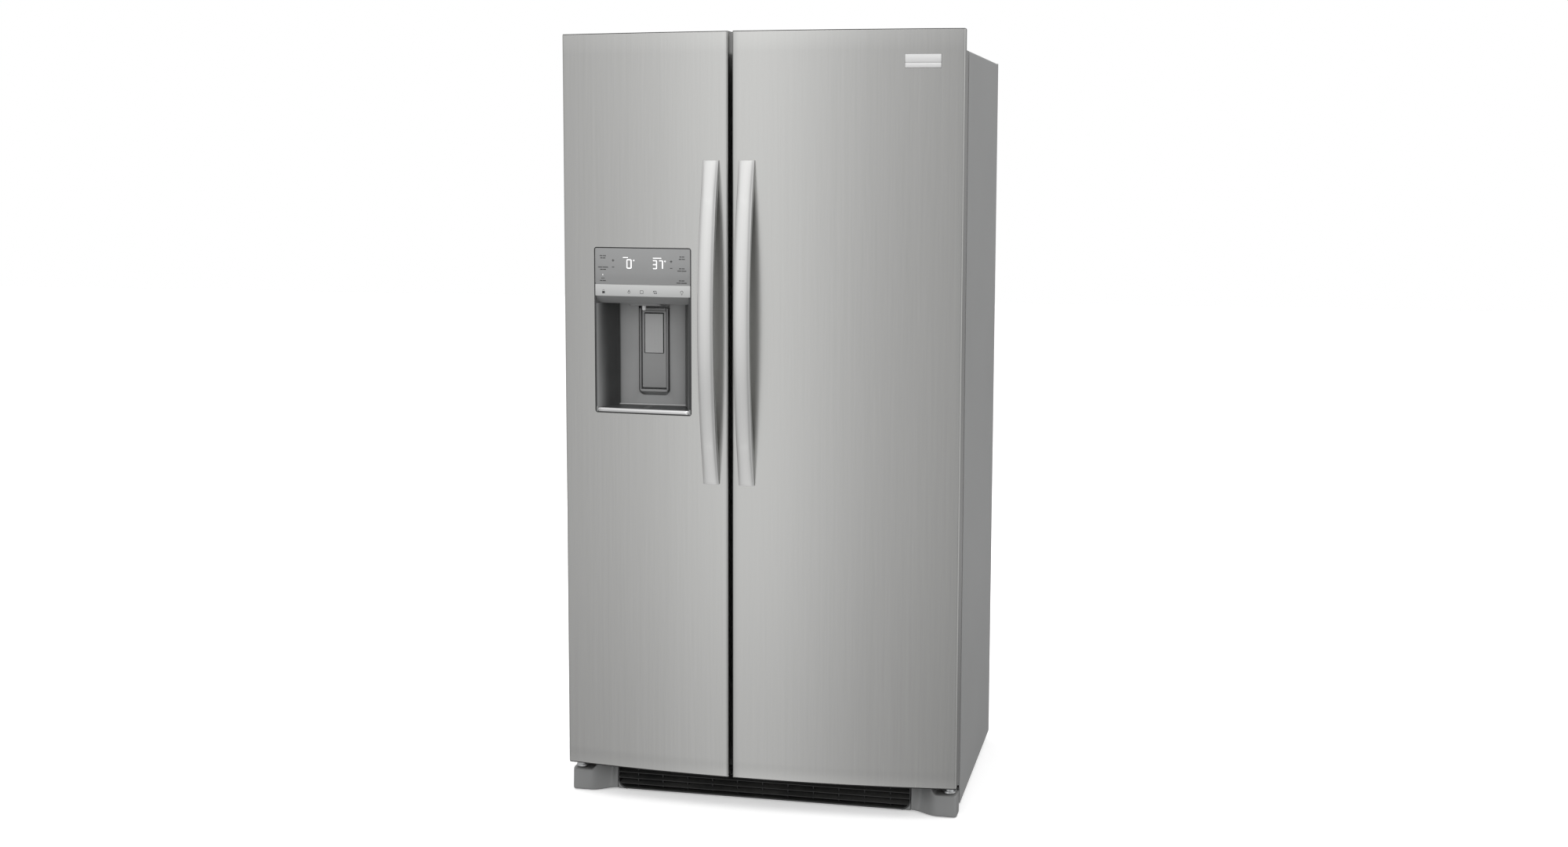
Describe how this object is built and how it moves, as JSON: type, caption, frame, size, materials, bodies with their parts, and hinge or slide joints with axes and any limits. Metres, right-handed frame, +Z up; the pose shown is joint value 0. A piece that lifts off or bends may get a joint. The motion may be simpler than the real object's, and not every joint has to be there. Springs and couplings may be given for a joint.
{
  "type": "side by side refrigerator",
  "caption": "Side by side refrigerator and freezer with two bowed steel doors, arched bar handles and a water and ice dispenser.",
  "frame": {"origin": "on the floor under the centre of the bounding box", "axes": "+Z up, -Y out of the doors, +X towards the fresh-food side"},
  "size_m": [0.911, 0.764, 1.76],
  "materials": {
    "stainless": "satin, fine vertical brushing",
    "handle_stainless": "satin, brushed along the bar",
    "gray_paint": "satin, light orange peel",
    "zinc": "satin, zinc plated",
    "foam": "matte",
    "white_plastic": "satin",
    "gray_plastic": "satin, moulded",
    "dark_plastic": "satin, moulded",
    "black_plastic": "matte, moulded",
    "dispenser_gray": "satin, moulded",
    "display_glass": "gloss",
    "clear_plastic": "gloss",
    "shelf_glass": "gloss",
    "white_wire": "satin",
    "gasket_rubber": "matte",
    "black_paint": "satin",
    "aluminium": "satin",
    "bright_trim": "polished"
  },
  "bodies": {
    "cabinet": {"cabinet_wrapper": "gray_paint", "back_panel": "zinc", "cabinet_foam": "foam", "freezer_liner": "white_plastic", "fridge_liner": "white_plastic", "base_pan": "zinc", "levelling_leg_left": "zinc", "levelling_leg_right": "zinc", "foot_cover_left": "gray_plastic", "foot_cover_right": "gray_plastic", "lower_hinge_left": "zinc", "lower_hinge_right": "zinc", "upper_hinge_left": "zinc", "upper_hinge_right": "zinc", "hinge_cover_left": "gray_plastic", "hinge_cover_right": "gray_plastic", "toe_grille": "black_plastic", "fridge_shelf_upper": "shelf_glass", "fridge_shelf_middle": "shelf_glass", "crisper_cover": "shelf_glass", "freezer_shelf_upper": "white_wire", "freezer_shelf_lower": "white_wire", "ice_maker": "gray_plastic", "ice_bin": "clear_plastic", "evaporator": "aluminium", "evaporator_cover": "white_plastic", "compressor": "black_paint", "condenser": "black_paint", "drain_pan": "black_plastic", "fan_shroud": "black_plastic", "rear_cover": "zinc", "cord_gland": "black_plastic"},
    "freezer_door": {"freezer_door_skin": "stainless", "freezer_inner_door": "white_plastic", "freezer_gasket": "gasket_rubber", "freezer_handle": "handle_stainless", "dispenser_housing": "dispenser_gray", "display_panel": "display_glass", "dispenser_spout": "white_plastic", "freezer_bin_1": "clear_plastic", "freezer_bin_2": "clear_plastic", "freezer_bin_3": "clear_plastic"},
    "fridge_door": {"fridge_door_skin": "stainless", "fridge_inner_door": "white_plastic", "fridge_gasket": "gasket_rubber", "fridge_handle": "handle_stainless", "badge": "bright_trim", "fridge_bin_1": "clear_plastic", "fridge_bin_2": "clear_plastic", "fridge_bin_3": "clear_plastic"},
    "paddle": {"dispenser_paddle": "dispenser_gray"},
    "tray": {"drip_tray": "dark_plastic"},
    "lid": {"dairy_lid": "clear_plastic"},
    "upper_crisper": {"crisper_upper": "clear_plastic"},
    "lower_crisper": {"crisper_lower": "clear_plastic"},
    "basket": {"freezer_basket": "white_plastic"},
    "left_roller": {"roller_left": "black_plastic"},
    "right_roller": {"roller_right": "black_plastic"},
    "fan": {"condenser_fan": "dark_plastic"},
    "auger": {"ice_auger": "aluminium"}
  },
  "joints": [
    {"name": "freezer_door_hinge", "type": "hinge", "parent": "cabinet", "child": "freezer_door", "pos_m": [-0.4355, -0.248, 0.9], "axis": [0, 0, -1], "range_deg": [0, 110]},
    {"name": "fridge_door_hinge", "type": "hinge", "parent": "cabinet", "child": "fridge_door", "pos_m": [0.4355, -0.248, 0.9], "axis": [0, 0, 1], "range_deg": [0, 110]},
    {"name": "paddle_hinge", "type": "hinge", "parent": "freezer_door", "child": "paddle", "pos_m": [-0.2645, -0.203, 1.136], "axis": [1, 0, 0], "range_deg": [0, 4], "stiffness_Nm_per_rad": 0.6, "springref_deg": -5.73},
    {"name": "drip_tray_slide", "type": "slide", "parent": "freezer_door", "child": "tray", "axis": [0, -1, 0], "range_m": [0, 0.03]},
    {"name": "dairy_lid_hinge", "type": "hinge", "parent": "fridge_door", "child": "lid", "pos_m": [0.193, -0.121, 1.597], "axis": [1, 0, 0], "range_deg": [0, 80]},
    {"name": "upper_crisper_slide", "type": "slide", "parent": "cabinet", "child": "upper_crisper", "axis": [0, -1, 0], "range_m": [0, 0.2016]},
    {"name": "lower_crisper_slide", "type": "slide", "parent": "cabinet", "child": "lower_crisper", "axis": [0, -1, 0], "range_m": [0, 0.2016]},
    {"name": "basket_slide", "type": "slide", "parent": "cabinet", "child": "basket", "axis": [0, -1, 0], "range_m": [0, 0.2016]},
    {"name": "left_roller_spin", "type": "hinge", "parent": "cabinet", "child": "left_roller", "pos_m": [-0.43, 0.338, 0.02], "axis": [1, 0, 0], "continuous": true},
    {"name": "right_roller_spin", "type": "hinge", "parent": "cabinet", "child": "right_roller", "pos_m": [0.43, 0.338, 0.02], "axis": [1, 0, 0], "continuous": true},
    {"name": "condenser_fan_spin", "type": "hinge", "parent": "cabinet", "child": "fan", "pos_m": [0.042, 0.262, 0.13], "axis": [1, 0, 0], "continuous": true},
    {"name": "ice_auger_spin", "type": "hinge", "parent": "cabinet", "child": "auger", "pos_m": [-0.251, 0.097, 1.172], "axis": [0, 1, 0], "continuous": true}
  ],
  "couplings": [
    {"joint": "upper_crisper_slide", "follows": "fridge_door_hinge", "m_per_rad": 0.105},
    {"joint": "lower_crisper_slide", "follows": "fridge_door_hinge", "m_per_rad": 0.105},
    {"joint": "basket_slide", "follows": "freezer_door_hinge", "m_per_rad": 0.105}
  ]
}
